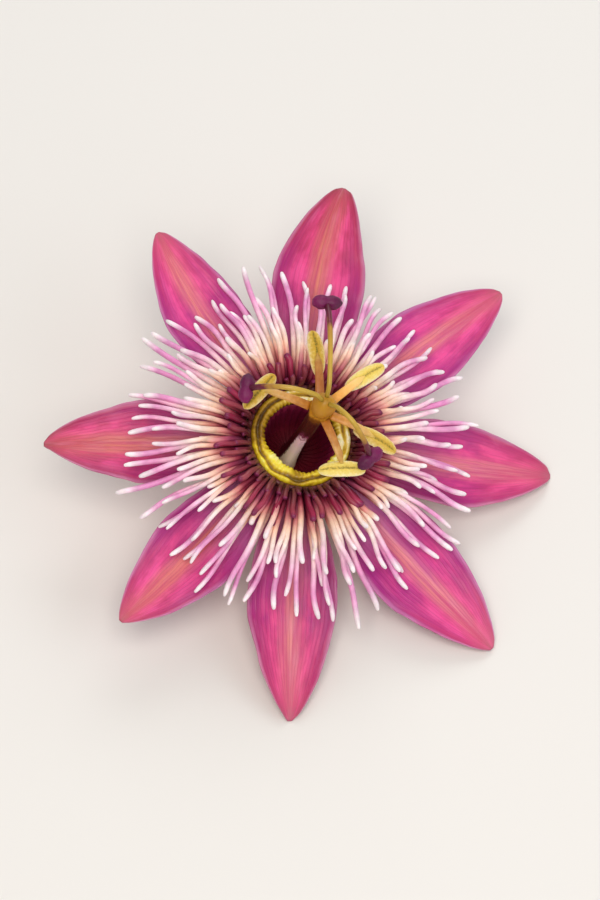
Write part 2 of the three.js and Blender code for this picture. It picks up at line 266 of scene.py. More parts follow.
# petals and sepals, in millimetres unless a note says otherwise
blade = dict(
    outline=[(0, 0.44), (0.12, 0.68), (0.25, 0.88), (0.44, 1), (0.58, 0.95), (0.78, 0.67)]
    + [(0.9, 0.41), (0.97, 0.2), (1, 0.05)],  # shares of the length, and of the width there
    stations=96,
    strips=36,
    crowding=0.35,  # of the strips towards the edges
    overlap=0.7,  # how far the root runs in over the cup
    droopPower=1.7,
    liftPower=1.3,
    waves=2.3,  # along each edge
    waveHeight=0.42,
    crinkles=8,  # finer ones
    crinkleHeight=0.14,
    hoodRises=(0.72, 0.95),  # shares of the length
    hoodEnds=(0.97, 1),
    crease=0.4,  # depth of the groove over the midrib
    creaseWidth=0.9,
    ribSpacing=1.7,
    ribHeight=0.05,
    buckle=0.5,  # slow unevenness of the whole blade
    nicks=0.015,  # in the edges, as a share of the width
    tipThinning=0.35,  # share of the thickness
    keelWidth=0.55,  # of the midrib on the back
)
sepalWhorl = dict(root=11.9, height=-1.9, thickness=0.62, edge=0.22, hood=1.0, keel=0.45)
petalWhorl = dict(root=11.9, height=-0.75, thickness=0.44, edge=0.14, hood=0.35, keel=0.15)
# a tip of None lies on the surface
sepals = dict(
    sepal_1=dict(azimuth=81, reach=55.6, width=18.4, tip=-4.8, bow=1.8, lift=1.5, phase=0.1, warmth=0.9),
    sepal_2=dict(azimuth=0, reach=52.6, width=17.4, tip=None, bow=-1.2, lift=1.7, phase=0.6, warmth=0.1),
    sepal_3=dict(azimuth=-89, reach=54.4, width=17.6, tip=None, bow=-0.6, lift=1.3, phase=0.35, warmth=0.2),
    sepal_4=dict(azimuth=-176, reach=49.2, width=16.6, tip=-5.6, bow=0.3, lift=1.6, phase=0.8, warmth=0.85),
)
petals = dict(
    petal_1=dict(azimuth=41, reach=54, width=16.6, tip=-3.2, bow=0.2, lift=0.7, phase=0.2, warmth=0.4),
    petal_2=dict(azimuth=-44, reach=55, width=18.8, tip=-1.9, bow=-0.5, lift=0.9, phase=0.55, warmth=0.25),
    petal_3=dict(azimuth=-131, reach=50.4, width=16.8, tip=-4, bow=0.7, lift=0.8, phase=0.9, warmth=0.7),
    petal_4=dict(azimuth=125, reach=50.2, width=16, tip=-3, bow=1.8, lift=0.7, phase=0.4, warmth=0.45),
)
outlineLine = smoothCurve(blade["outline"], 200)


def touchingHeight(azimuth, reach, thickness):
    # of a tip that lies on the surface
    angle = math.radians(azimuth)
    foot = Vector((reach * math.cos(angle), reach * math.sin(angle), 0))
    return -(pose["petalPlaneHeight"] + foot.dot(upInFlower)) / upInFlower.z + thickness / 2


def bladePart(spec, whorl):
    root, reach, phase, tip = whorl["root"], spec["reach"], spec["phase"], spec["tip"]
    if tip is None:
        tip = touchingHeight(spec["azimuth"], reach, whorl["thickness"])
    # s runs from root to tip and t from edge to edge
    s = np.linspace(-blade["overlap"] / (reach - root), 1, blade["stations"])[:, None]
    even = np.linspace(-1, 1, blade["strips"] + 1)[None, :]
    t = (1 - blade["crowding"]) * even + blade["crowding"] * np.sin(even * math.pi / 2)
    inside = np.clip(s, 0, 1)
    swell = np.sin(math.pi * inside)
    half = spec["width"] / 2 * np.interp(inside, outlineLine[:, 0], outlineLine[:, 1])
    lateral = half * t
    side = phase * np.sign(t)

    # the middle surface: droop, raised edges, waves and crinkles, and the hood at the tip
    height = whorl["height"] + (tip - whorl["height"]) * inside ** blade["droopPower"]
    height = height + spec["lift"] * np.sin(math.pi * inside ** blade["liftPower"]) * (t * t - 0.2)
    height += blade["waveHeight"] * np.sin(2 * math.pi * (blade["waves"] * s + side)) * t * t * swell
    crinkle = np.sin(2 * math.pi * (blade["crinkles"] * s + 7 * side))
    height += blade["crinkleHeight"] * crinkle * t**6 * swell
    height += whorl["hood"] * t * t * fade(*blade["hoodRises"], s) * (1 - fade(*blade["hoodEnds"], s))
    # and the midrib's groove, the ribs beside it and a slow buckle
    creased = bell(lateral, blade["creaseWidth"]) * fade(0, 0.15, s) * (1 - 0.6 * fade(0.85, 1, s))
    ribs = np.cos(2 * math.pi * lateral / blade["ribSpacing"]) * (1 - creased) * swell
    height = height - blade["crease"] * creased + blade["ribHeight"] * ribs
    height += blade["buckle"] * lumps(s * 3.2, t * 1.3, phase * 40, seed=3.7) * swell

    nick = 1 + blade["nicks"] * lumps(s * 14, np.sign(t) * 5, phase * 9, seed=1.3) * t**8
    sideways = (spec["bow"] * 4 * inside * (1 - inside) + lateral) * nick
    thickness = whorl["edge"] + (whorl["thickness"] - whorl["edge"]) * np.sqrt(1 - 0.98 * t**6)
    thickness = thickness * (1 - blade["tipThinning"] * fade(0.8, 1, s))
    keel = whorl["keel"] * bell(lateral, blade["keelWidth"]) * (1 - fade(0.75, 0.97, s))
    middle = np.stack(np.broadcast_arrays(root + (reach - root) * s, sideways, height), -1)
    upper, lower = middle.copy(), middle.copy()
    upper[..., 2] += thickness / 2
    lower[..., 2] -= thickness / 2 + keel
    marks = {"across": t, "acrossMm": lateral, "veinMm": spec["width"] / 2 * t}
    marks = {name: np.hstack([value, value[:, ::-1]]) for name, value in marks.items()}
    marks["upperSide"] = np.repeat([1.0, 0.0], t.size)[None, :]
    marks = {"along": s, "seed": phase, "warmth": spec["warmth"], **marks}
    return turned(ringSkin(np.hstack([upper, lower[:, ::-1]]), **marks), spec["azimuth"])


# Living petal: thin tissue whose cells give it a satin sheen. It is pale lilac at its root, under the
# corona, a light tint that is partly painted light against the corona's shadow, and runs through magenta
# to pink and a dull rose tip. Fine veins run along it, with a coral streak over the midrib. Bright pink
# clouds across its middle are a painted sheen, and a thin pale rim is a painted highlight. Sepals are
# thicker, and their backs run from olive cream through salmon to pink.
runStops = (0, 0.2, 0.38, 0.52, 0.66, 0.82, 0.93, 1)  # from root to tip, of the cool and the warm run
petalColours = dict(
    # the first stops keep the root light, partly as painted light against the corona's shadow
    cool="#d29ac4 #c065aa #b43a90 #b93088 #c0337c #c83a74 #cb4274 #b85672",
    warm="#d29ac0 #c065a0 #b53a88 #bf3778 #be345e #bc3252 #b63b50 #a64850",
    backs={0: "#d9b3bd", 0.3: "#c9679c", 0.7: "#bf3f7c", 1: "#b8345c"},
    pale="#ec98c4",
    # the bright pink is a painted sheen, and the rim colour is a painted highlight
    sheenPink="#f4509e",
    edge="#a01a7c",
    rim="#cf8cba",
    streak="#ee949a",
    warmStreak="#e88c6e",
    vein="#98205e",
    length=42.0,  # mm, of a blade
    streakWidth=3.0,  # mm to each side of the midrib
    veinSpacing=0.75,  # mm
    roughness=0.42,
)
sepalColours = petalColours | dict(
    cool="#cc98a8 #c06498 #b1388a #b73082 #be3472 #c83a72 #c94674 #b45872",
    warm="#cc98a4 #bd6490 #b0387e #bb356e #b93356 #b4304a #ae384a #92444a",
    backs={0: "#b9b878", 0.18: "#cfa07c", 0.45: "#cb6c6e", 0.75: "#bd3f62", 1: "#a92e4c"},
    pale="#e894b8",
    # the bright pink is a painted sheen, and the rim colour is a painted highlight
    sheenPink="#f24e94",
    edge="#9e1c70",
    rim="#cc8cae",
    streak="#ea9098",
    warmStreak="#dc866c",
    vein="#942054",
    streakWidth=3.3,
    veinSpacing=0.85,
    roughness=0.4,
)


def bladeMaterial(name, colours):
    values = {
        "IOR": 1.42, "Sheen Weight": 0.1, "Sheen Roughness": 0.4,
        "Subsurface Weight": 0.15, "Subsurface Scale": 0.8 * mm, "Subsurface Radius": (1.0, 0.35, 0.5),
    }
    marks = ("along", "across", "acrossMm", "veinMm", "seed", "warmth", "upperSide")
    material, shader, add, given = newMaterial(name, values, *marks)
    along, across, acrossMm, veinMm, seed, ownWarmth, upperSide = given
    longMm = add("MULTIPLY", [along, colours["length"]])
    seedPlace = add("MULTIPLY", [seed, 37.0])  # so that each blade has its own part of the noises
    place = add("ShaderNodeCombineXYZ", [longMm, veinMm, seedPlace])
    runs = [dict(zip(runStops, colours[run].split())) for run in ("cool", "warm")]
    cool, warm = [add("ShaderNodeValToRGB", [along], run) for run in runs]

    # soft clouds, some 6 mm long, and long strands a millimetre wide
    noises = []
    for scale in ((0.16, 0.36, 1), (0.06, 1.0, 1)):
        stretched = add("ShaderNodeMapping", {"Vector": place, "Scale": scale})
        noises.append(add("ShaderNodeTexNoise", {"Vector": stretched, "Scale": 1.0, "Detail": 3.0}))
    cloud, strands = noises
    side = add("ABSOLUTE", [across])

    # warm and cool pink change places in patches
    share = add("ShaderNodeMapRange", [cloud, 0.3, 0.7, -0.35, 0.35])
    warmth = add("ADD", [share, ownWarmth], use_clamp=True)
    colour = add("ShaderNodeMix", [warmth, cool, warm], data_type="RGBA")

    # for each colour the noise that breaks it up, with the values between which it does, and how
    # much there is of it along the blade and from midrib to edge
    sheenAcross = {0.08: 0.2, 0.4: 1, 0.6: 0.9, 0.86: 0}
    # the bright clouds across the middle are a painted sheen, and the thin pale line at the edges is a
    # painted highlight
    layers = [
        ("pale", [cloud, 0.52, 0.74], {0: 0.3, 1: 0.3}, {0: 1, 1: 1}),
        ("sheenPink", [cloud, 0.34, 0.6], {0.3: 0, 0.52: 0.8, 0.85: 0.8, 1: 0.4}, sheenAcross),
        ("edge", [strands, 0.25, 0.6], {0.2: 0.9, 0.6: 0.8, 0.85: 0.4, 1: 0.1}, {0.4: 0, 0.78: 0.8, 1: 1}),
        ("rim", [cloud, 0.2, 0.5], {0.1: 0.5, 1: 0.85}, {0.88: 0, 0.97: 0.9, 1: 1}),
    ]
    for label, breaker, lengthwise, crosswise in layers:
        share = add("ShaderNodeMapRange", breaker)
        run = add("ShaderNodeValToRGB", [along], lengthwise)
        over = add("ShaderNodeValToRGB", [side], crosswise)
        share = add("MULTIPLY", [share, run])
        share = add("MULTIPLY", [share, over])
        colour = add("ShaderNodeMix", [share, colour, colours[label]], data_type="RGBA")

    # the coral streak over the midrib, in strands that come and go
    sideMm = add("ABSOLUTE", [acrossMm])
    width = [0.2, colours["streakWidth"]]
    streak = add("ShaderNodeMapRange", [sideMm, *width, 1.0, 0.0], interpolation_type="SMOOTHSTEP")
    run = add("ShaderNodeValToRGB", [along], {0.15: 0.3, 0.4: 0.9, 0.66: 0.85, 0.8: 0.5, 0.95: 0.2})
    broken = add("ShaderNodeMapRange", [strands, 0.34, 0.6, 0.3, 1.0])
    share = add("MULTIPLY", [streak, run])
    share = add("MULTIPLY", [share, broken])
    coral = add("ShaderNodeMix", [warmth, colours["streak"], colours["warmStreak"]], data_type="RGBA")
    colour = add("ShaderNodeMix", [share, colour, coral], data_type="RGBA")

    # veins that follow the outline, waver a little and fade in and out
    bend = add("ShaderNodeTexNoise", {"Vector": place, "Scale": 0.2, "Detail": 2.0})
    bent = add("MULTIPLY_ADD", [bend, 0.9, veinMm])
    veinTurn = add("MULTIPLY", [bent, 2 * math.pi / colours["veinSpacing"]])
    veinWave = add("SINE", [veinTurn])
    veinLine = add("ShaderNodeMapRange", [veinWave, 0.4, 1.0])
    veinFade = add("ShaderNodeMapRange", [strands, 0.38, 0.66, 0.04, 0.3])
    share = add("MULTIPLY", [veinLine, veinFade])
    back = add("ShaderNodeValToRGB", [along], colours["backs"])
    front = add("ShaderNodeMix", [share, colour, colours["vein"]], data_type="RGBA")
    back = add("ShaderNodeMix", [share, back, colours["vein"]], data_type="RGBA")
    colour = add("ShaderNodeMix", [upperSide, back, front], data_type="RGBA")

    # cells about 0.2 mm across roughen the light, and the veins stand a little proud
    cells = add("ShaderNodeTexVoronoi", {"Vector": place, "Scale": 4.5})
    relief = add("MULTIPLY_ADD", [cells, 0.35, veinLine])
    bump = add("ShaderNodeBump", {"Strength": 0.3, "Distance": 0.13 * mm, "Height": relief})
    rough = colours["roughness"]
    rough = add("ShaderNodeMapRange", [cloud, 0.3, 0.7, rough - 0.06, rough + 0.1])
    setInputs(shader, {"Base Color": colour, "Normal": bump, "Roughness": rough})
    return material


petalTissue = bladeMaterial("petalTissue", petalColours)
sepalTissue = bladeMaterial("sepalTissue", sepalColours)
for name, spec in sepals.items():
    makePiece(name + "_blade", [bladePart(spec, sepalWhorl)], [sepalTissue], [name])
for name, spec in petals.items():
    makePiece(name + "_blade", [bladePart(spec, petalWhorl)], [petalTissue], [name])
print("petals and sepals made")

# the corona: five rows of filaments, all from one node tree
longRows = {  # of the lower, the upper and the short row
    "Count": (50, 50, 58),
    "Root Radius": (11.9, 11.7, 11.6),
    "Root Height": (1.1, 1.8, 2.0),
    "Reach": (36.4, 33.8, 27.5),
    "Tip Height": (0.7, 2.6, 4.8),
    "Arch": (1.9, 2.5, 1.6),
    "Waver": (0.7, 0.7, 0.6),
    "Root Thickness": (0.64, 0.62, 0.64),
    "Tip Thickness": (0.5, 0.48, 0.5),
    "Uneven": (0.12, 0.2, 0.3),
    "Full Side": (250, 250, 250),  # degrees round the axis, where the row reaches farther
    "Fuller": (0.045, 0.045, 0.045),
    "Band Shift": (1.2, 1.2, 1.2),
    "Lift": (1.4, 1.8, 1.8),
    "Seed": (3, 8, 15),
}
innerRows = {  # of the clubs and of the stubs inside them
    "Count": (36, 44),
    "Root Radius": (10.5, 10.2),
    "Root Height": (1.9, 1.9),
    "Reach": (17.9, 13.2),
    "Tip Height": (5.6, 4.4),
    "Arch": (1.2, 0.6),
    "Waver": (0.35, 0.2),
    "Root Thickness": (0.4, 0.38),
    "Tip Thickness": (0.6, 0.5),
    "Uneven": (0.2, 0.12),
    "Full Side": (255, 255),
    "Fuller": (0.14, 0.07),
    "Band Shift": (1.2, 1.2),
    "Lift": (1.4, 0.6),
    "Seed": (21, 34),
}
filament = dict(
    points=14,
    sides=7,
    crowding=1.7,  # of the points towards the tip
    straying=0.6,  # share of the spacing between two roots
    bladeCount=8.0,
    bladesAt=32,
    overBlades=-0.045,  # share of the reach
    bob=0.45,  # up and down, as a share of the waver
    sway=3.6,  # of each filament to its own side
    girthVaries=0.3,
)
# how a row's points are placed, step by step: a name, a maths operation or a node, and its inputs
steps = [
    # which filament a point is on, and its share of the way along
    ("ratio", "DIVIDE", "index", filament["points"]),
    ("which", "FLOOR", "ratio"),
    ("step", "MODULO", "index", filament["points"]),
    ("evenShare", "DIVIDE", "step", filament["points"] - 1),
    ("left", "SUBTRACT", 1.0, "evenShare"),
    ("crowded", "POWER", "left", filament["crowding"]),
    ("along", "SUBTRACT", 1.0, "crowded"),
]
# random numbers from 0 to 1, drawn once for each filament
draws = ("turnDraw", "reachDraw", "liftDraw", "beatDraw", "phaseDraw", "leanDraw", "girthDraw", "strand")
for order, name in enumerate(draws):
    steps.append((name + "Seed", "ADD", "Seed", order))
    steps.append((name, "FunctionNodeRandomValue", 0, 1, "which", name + "Seed"))
steps += [
    ("spacing", "DIVIDE", 2 * math.pi, "Count"),
    ("strayed", "MULTIPLY_ADD", "turnDraw", filament["straying"], "which"),
    ("angle", "MULTIPLY", "strayed", "spacing"),
    # reach, longer on the fuller side of the flower
    ("short", "POWER", "reachDraw", 1.4),
    ("shortfall", "MULTIPLY", "short", "Uneven"),
    ("ownLength", "SUBTRACT", 1.0, "shortfall"),
    ("fullTurn", "RADIANS", "Full Side"),
    ("fromFull", "SUBTRACT", "angle", "fullTurn"),
    ("fullness", "COSINE", "fromFull"),
    ("stretch", "MULTIPLY_ADD", "fullness", "Fuller", 1.0),
    # and shorter over the eight blades than between them
    ("bladeTurn", "MULTIPLY_ADD", "angle", filament["bladeCount"], math.radians(filament["bladesAt"])),
    ("overBlade", "COSINE", "bladeTurn"),
    ("gapStretch", "MULTIPLY_ADD", "overBlade", filament["overBlades"], "stretch"),
    ("nearReach", "MULTIPLY", "Reach", "ownLength"),
    ("reach", "MULTIPLY", "nearReach", "gapStretch"),
    ("run", "SUBTRACT", "reach", "Root Radius"),
    ("radius", "MULTIPLY_ADD", "run", "along", "Root Radius"),
    # its colour bands lie farther out on the fuller side too
    ("bandShift", "MULTIPLY", "fullness", "Band Shift"),
    ("reached", "SUBTRACT", "radius", "bandShift"),
    # height: a straight rise, an arch, and a lift of its own towards the tip
    ("late", "POWER", "along", 1.6),
    ("climb", "SUBTRACT", "Tip Height", "Root Height"),
    ("straight", "MULTIPLY_ADD", "climb", "along", "Root Height"),
    ("early", "POWER", "along", 0.8),
    ("archTurn", "MULTIPLY", "early", math.pi),
    ("archSine", "SINE", "archTurn"),
    ("arched", "MULTIPLY_ADD", "archSine", "Arch", "straight"),
    ("liftEven", "SUBTRACT", "liftDraw", 0.5),
    ("ownLift", "MULTIPLY", "liftEven", "Lift"),
    ("lifted", "MULTIPLY_ADD", "ownLift", "late", "arched"),
    # waves, sideways and up and down, that grow towards the tip
    ("beatCount", "MULTIPLY_ADD", "beatDraw", 0.8, 0.7),
    ("beat", "MULTIPLY_ADD", "along", "beatCount", "phaseDraw"),
    ("beatTurn", "MULTIPLY", "beat", 2 * math.pi),
    ("wave", "SINE", "beatTurn"),
    ("wobble", "COSINE", "beatTurn"),
    ("waverHere", "MULTIPLY", "Waver", "late"),
    ("bobHere", "MULTIPLY", "waverHere", filament["bob"]),
    ("height", "MULTIPLY_ADD", "wobble", "bobHere", "lifted"),
    ("leanEven", "SUBTRACT", "leanDraw", 0.5),
    ("swayWave", "MULTIPLY_ADD", "leanEven", filament["sway"], "wave"),
    ("sideways", "MULTIPLY", "swayWave", "waverHere"),
    # from the filament's own directions to the flower's
    ("cosine", "COSINE", "angle"),
    ("sine", "SINE", "angle"),
    ("sideX", "MULTIPLY", "sideways", "sine"),
    ("sideY", "MULTIPLY", "sideways", "cosine"),
    ("radialX", "MULTIPLY", "radius", "cosine"),
    ("x", "SUBTRACT", "radialX", "sideX"),
    ("y", "MULTIPLY_ADD", "radius", "sine", "sideY"),
    ("place", "ShaderNodeCombineXYZ", "x", "y", "height"),
    # thickness, with a rounded tip
    ("thinning", "SUBTRACT", "Tip Thickness", "Root Thickness"),
    ("taper", "SQRT", "along"),
    ("girth", "MULTIPLY_ADD", "thinning", "taper", "Root Thickness"),
    ("girthShare", "MULTIPLY_ADD", "girthDraw", filament["girthVaries"], 1 - filament["girthVaries"] / 2),
    ("ownGirth", "MULTIPLY", "girth", "girthShare"),
    ("tipTurn", "POWER", "along", 60.0),
    ("tipCut", "MULTIPLY_ADD", "tipTurn", -0.6, 1.0),
    ("thickness", "MULTIPLY", "ownGirth", "tipCut"),
]


def coronaTree():
    tree = bpy.data.node_groups.new("coronaRow", "GeometryNodeTree")
    add = partial(addNode, tree)
    face = tree.interface
    face.new_socket("Geometry", in_out="INPUT", socket_type="NodeSocketGeometry")
    for label in longRows:
        kind = "NodeSocketInt" if label in ("Count", "Seed") else "NodeSocketFloat"
        face.new_socket(label, in_out="INPUT", socket_type=kind)
    face.new_socket("Material", in_out="INPUT", socket_type="NodeSocketMaterial")
    face.new_socket("Geometry", in_out="OUTPUT", socket_type="NodeSocketGeometry")
    group = add("NodeGroupInput")
    known = {socket.name: socket for socket in group.outputs if socket.name}

    # one straight line for each filament
    line = add("GeometryNodeCurvePrimitiveLine", {"End": (1, 0, 0)})
    line = add("GeometryNodeResampleCurve", {"Curve": line, "Count": filament["points"]})
    roots = add("GeometryNodeMeshLine", {"Count": known["Count"]})
    lines = add("GeometryNodeInstanceOnPoints", {"Points": roots, "Instance": line})
    lines = add("GeometryNodeRealizeInstances", [lines])

    known["index"] = add("GeometryNodeInputIndex")
    for name, kind, *terms in steps:
        known[name] = add(kind, [known.get(term, term) for term in terms])
    lines = add("GeometryNodeSetPosition", {"Geometry": lines, "Position": known["place"]})
    for mark in ("along", "strand", "reached"):
        kept = {"Geometry": lines, "Name": mark, "Value": known[mark]}
        lines = add("GeometryNodeStoreNamedAttribute", kept, data_type="FLOAT", domain="POINT")
    section = add("GeometryNodeCurvePrimitiveCircle", {"Resolution": filament["sides"], "Radius": 1.0})
    tubes = {"Curve": lines, "Profile Curve": section, "Scale": known["thickness"], "Fill Caps": True}
    real = add("GeometryNodeRealizeInstances", [add("GeometryNodeCurveToMesh", tubes)])
    dressed = add("GeometryNodeSetMaterial", {"Geometry": real, "Material": known["Material"]})
    add("NodeGroupOutput", [dressed])
    return tree


def rowPart(tree, settings, material):
    # one row of filaments, taken from the node tree as a plain mesh
    holder = newObject("row", bpy.data.meshes.new("row"))
    modifier = holder.modifiers.new("row", "NODES")
    modifier.node_group = tree
    identifiers = {item.name: item.identifier for item in tree.interface.items_tree if item.in_out == "INPUT"}
    for label, value in {**settings, "Material": material}.items():
        modifier[identifiers[label]] = value
    solved = bpy.data.meshes.new_from_object(holder.evaluated_get(bpy.context.evaluated_depsgraph_get()))
    holder.modifiers.remove(modifier)
    bpy.data.objects.remove(holder)
    marks = {}
    for label in ("along", "strand", "reached"):
        marks[label] = np.array([item.value for item in solved.attributes[label].data])
    vertices = np.array([vertex.co for vertex in solved.vertices])
    faces = [list(face.vertices) for face in solved.polygons]
    bpy.data.meshes.remove(solved)
    return {"vertices": vertices, "faces": faces, "marks": marks, "material": 0}


# Living corona filament: a smooth, juicy thread with a soft waxy gleam. The eye sees bands, dark
# maroon at the root, then cream, then lilac pink, and a white tip; the short rows are maroon.
longBands = dict(
    bands={0: "#5c1026", 0.07: "#7c1c34", 0.12: "#a23e50", 0.19: "#d88c84", 0.26: "#f3c9b0"}
    | {0.38: "#fbe6de", 0.52: "#f8cce0", 0.66: "#e89cc9", 0.82: "#e8a2ce", 1: "#f2cce4"},
    span=(12.0, 36.9),  # mm from the axis, of the bands
    tip="#fcf2f4",
    other="#d67ab8",  # mixed into some of the filaments, more so past otherSpan of the bands
    otherSpan=(0.3, 0.7),
    roughness=0.42,
)
darkBands = dict(
    bands={0: "#400818", 0.3: "#660e28", 0.6: "#901a3e", 0.9: "#a62c54", 1: "#8c2048"},
    span=(10.0, 18.0),
    tip="#7c2450",
    other="#a65c5a",
    otherSpan=(-0.2, -0.1),
    roughness=0.36,
)


def filamentMaterial(name, look):
    values = {
        "Roughness": look["roughness"], "IOR": 1.42,
        "Subsurface Weight": 0.18, "Subsurface Scale": 0.5 * mm, "Subsurface Radius": (1.0, 0.5, 0.7),
    }
    material, shader, add, given = newMaterial(name, values, "along", "strand", "reached")
    along, strand, reached = given
    share = add("ShaderNodeMapRange", [reached, *look["span"]])
    shift = add("ShaderNodeMapRange", {"Value": strand, "To Min": -0.07, "To Max": 0.07})
    shifted = add("ADD", [share, shift], use_clamp=True)
    colour = add("ShaderNodeValToRGB", [shifted], look["bands"])
    scrambled = add("FRACT", [add("MULTIPLY", [strand, 7.3])])  # a second random number
    share = add("ShaderNodeMapRange", [scrambled, 0.4, 1.0, 0.0, 0.5])
    farther = add("ShaderNodeMapRange", [shifted, *look["otherSpan"], 0.25])
    share = add("MULTIPLY", [share, farther])
    colour = add("ShaderNodeMix", [share, colour, look["other"]], data_type="RGBA")
    share = add("ShaderNodeMapRange", [along, 0.84, 0.95, 0.0, 0.92])
    colour = add("ShaderNodeMix", [share, colour, look["tip"]], data_type="RGBA")
    place = add("ShaderNodeTexCoord").outputs["Object"]
    patches = add("ShaderNodeTexNoise", {"Vector": place, "Scale": 500.0, "Detail": 3.0})  # about 2 mm
    shade = add("ShaderNodeMapRange", [patches, 0.35, 0.65, 0.88, 1.12])
    colour = add("ShaderNodeHueSaturation", {"Value": shade, "Color": colour})
    bump = add("ShaderNodeBump", {"Strength": 0.25, "Distance": 0.1 * mm, "Height": patches})
    setInputs(shader, {"Base Color": colour, "Normal": bump})
    return material


# the low rings that the rows grow from
longBase = dict(inner=11.15, outer=12.35, bottom=0.3, top=1.95, bevel=0.3, sides=96)
innerBase = longBase | dict(inner=9.9, outer=10.85, top=2.2)


def coronaParts(base, rows, material):
    inner, outer, bottom, top, bevel, sides = base.values()
    profile = [(inner, bottom), (outer, bottom), (outer, top - bevel), (outer - bevel, top)]
    profile += [(inner + bevel, top), (inner, top - bevel)]
    parts = [lathe(profile, sides, wrap=True, along=0, reached=inner, strand=0.5)]
    for values in zip(*rows.values()):
        parts.append(rowPart(rowTree, dict(zip(rows, values)), material))
    return parts


paleFilament = filamentMaterial("coronaFilament", longBands)
darkFilament = filamentMaterial("darkFilament", darkBands)
rowTree = coronaTree()
parts = coronaParts(longBase, longRows, paleFilament)
makePiece("corona_long", parts, [paleFilament], ["corona_outer"])
parts = coronaParts(innerBase, innerRows, darkFilament)
makePiece("corona_short", parts, [darkFilament], ["corona_inner"])
print("corona made")


def tissueMaterial(name, look):
    # plain living tissue, coloured by its mark "along" and clouded by noise with lumps of 1000 / grain
    # mm. Where its mark "around" is high, a second run of colours takes over
    values = {
        "Roughness": look["roughness"], "IOR": 1.42, "Specular IOR Level": look.get("specular", 0.5),
        "Coat Weight": look.get("coat", 0.0), "Coat Roughness": 0.2, "Subsurface Scale": 0.6 * mm,
        "Subsurface Weight": look.get("glow", 0.12), "Subsurface Radius": (1.0, 0.6, 0.3),
    }
    material, shader, add, (run, turn) = newMaterial(name, values, "along", "around")
    place = add("ShaderNodeTexCoord").outputs["Object"]
    grain = add("ShaderNodeTexNoise", {"Vector": place, "Scale": look["grain"], "Detail": 4.0})
    wobble = look.get("clouding", 0.2) / 2
    shift = add("ShaderNodeMapRange", [grain, 0.3, 0.7, -wobble, wobble])
    run = add("ADD", [run, shift], use_clamp=True)
    colour = add("ShaderNodeValToRGB", [run], look["colours"])
    if "around" in look:
        other = add("ShaderNodeValToRGB", [run], look["around"])
        turn = add("ADD", [turn, shift])
        share = add("ShaderNodeMapRange", [turn, *look["aroundSpan"]], interpolation_type="SMOOTHSTEP")
        colour = add("ShaderNodeMix", [share, colour, other], data_type="RGBA")
    depth = look.get("bumpDepth", 0.08) * mm
    bump = add("ShaderNodeBump", {"Strength": 0.5, "Distance": depth, "Height": grain})
    setInputs(shader, {"Base Color": colour, "Normal": bump})
    return material


# nectary ring: two fleshy ridges with a groove between them, pleated on the inner wall
nectary = dict(
    radius=8.5, halfWidth=1.42, halfHeight=1.2, middle=1.5, sides=260, section=36,
    groove=0.75, grooveWidth=0.26, pleats=52, knobs=0.36, innerKnobs=0.3,
    # after the bulge come the places of the painted highlights on the top, the places where the ring is
    # darker, on the left and at the bottom, and the front whose painted light brings in the brighter run
    bulge=0.75, bulgeAt=234, highlightAt=(355, 92), dullAt=(182, 272), litSideAt=262,
)
# Moist fleshy tissue, olive yellow on the ridges. Its brown olive in the folds is painted shade, and the
# cream on the crests and the bright yellow at the front are painted light.
nectaryLook = dict(
    colours={0: "#543604", 0.3: "#8a620a", 0.5: "#b48814", 0.75: "#dab434", 0.92: "#f2d87c", 1: "#fff0c4"},
    around={0: "#6c5008", 0.3: "#b08a0e", 0.5: "#dcbe20", 0.72: "#f4e244", 0.95: "#fcf494"},
    aroundSpan=(0.42, 0.85), roughness=0.42, grain=900.0, coat=0.1, glow=0.2,
)


def nectaryPart():
    azimuth = wholeTurn(nectary["sides"])[None, :]
    turn = wholeTurn(nectary["section"])[:, None]
    x, y = np.cos(azimuth) * nectary["radius"], np.sin(azimuth) * nectary["radius"]
    wide, high = np.cos(turn) + 0 * azimuth, np.sin(turn) + 0 * azimuth
    knobs = lumps(x, y, high, size=2.3, seed=2.2)
    fine = lumps(x, y, wide, size=0.6, seed=5.1)
    drift = 0.12 + 0.3 * lumps(x, y, 0 * high, size=3.5, seed=9.1)
    up, inward = np.clip(high, 0, 1), np.clip(-wide, 0, 1)
    grooved = bell(wide - drift, nectary["grooveWidth"]) * up
    pleat = np.cos(nectary["pleats"] * azimuth + 6 * knobs)
    bulge = fade(0.72, 1, facing(azimuth, nectary["bulgeAt"]))
    height = nectary["middle"] + nectary["halfHeight"] * high
    height += up * (nectary["knobs"] * knobs + 0.1 * fine + 0.06 * pleat)
    height -= nectary["groove"] * grooved
    radius = nectary["radius"] + nectary["halfWidth"] * wide
    radius = radius - inward * (nectary["innerKnobs"] * knobs + 0.1 * pleat + nectary["bulge"] * bulge)
    radius = radius + 0.07 * fine
    # the tone picks the colour, mostly as painted light and shade: painted shade makes it low in the groove,
    # between the pleats and under the ring, and painted light makes it high on top, on the knobs and on the
    # bulge; finer lumps vary it at random
    tone = 0.32 + 0.35 * up + 0.35 * knobs + 0.12 * fine + 0.1 * pleat * inward
    tone = tone + 0.25 * bulge * inward - 0.7 * grooved - 0.3 * np.clip(-high, 0, 1)
    # painted highlights on the top, and darker on the left and at the bottom
    for place in nectary["highlightAt"]:
        tone += 0.5 * up * fade(0.85, 0.98, facing(azimuth, place))
    for place in nectary["dullAt"]:
        tone -= 0.2 * fade(0.8, 1, facing(azimuth, place))
    # the brighter run of colours takes over on the front as painted light
    around = facing(azimuth, nectary["litSideAt"]) / 2 + 0.5
    return ringSkin(aroundAxis(radius, azimuth, height), wrap=True, along=np.clip(tone, 0, 1), around=around)


tissue = tissueMaterial("nectaryTissue", nectaryLook)
makePiece("nectary_collar", [nectaryPart()], [tissue], ["nectary_ring"])

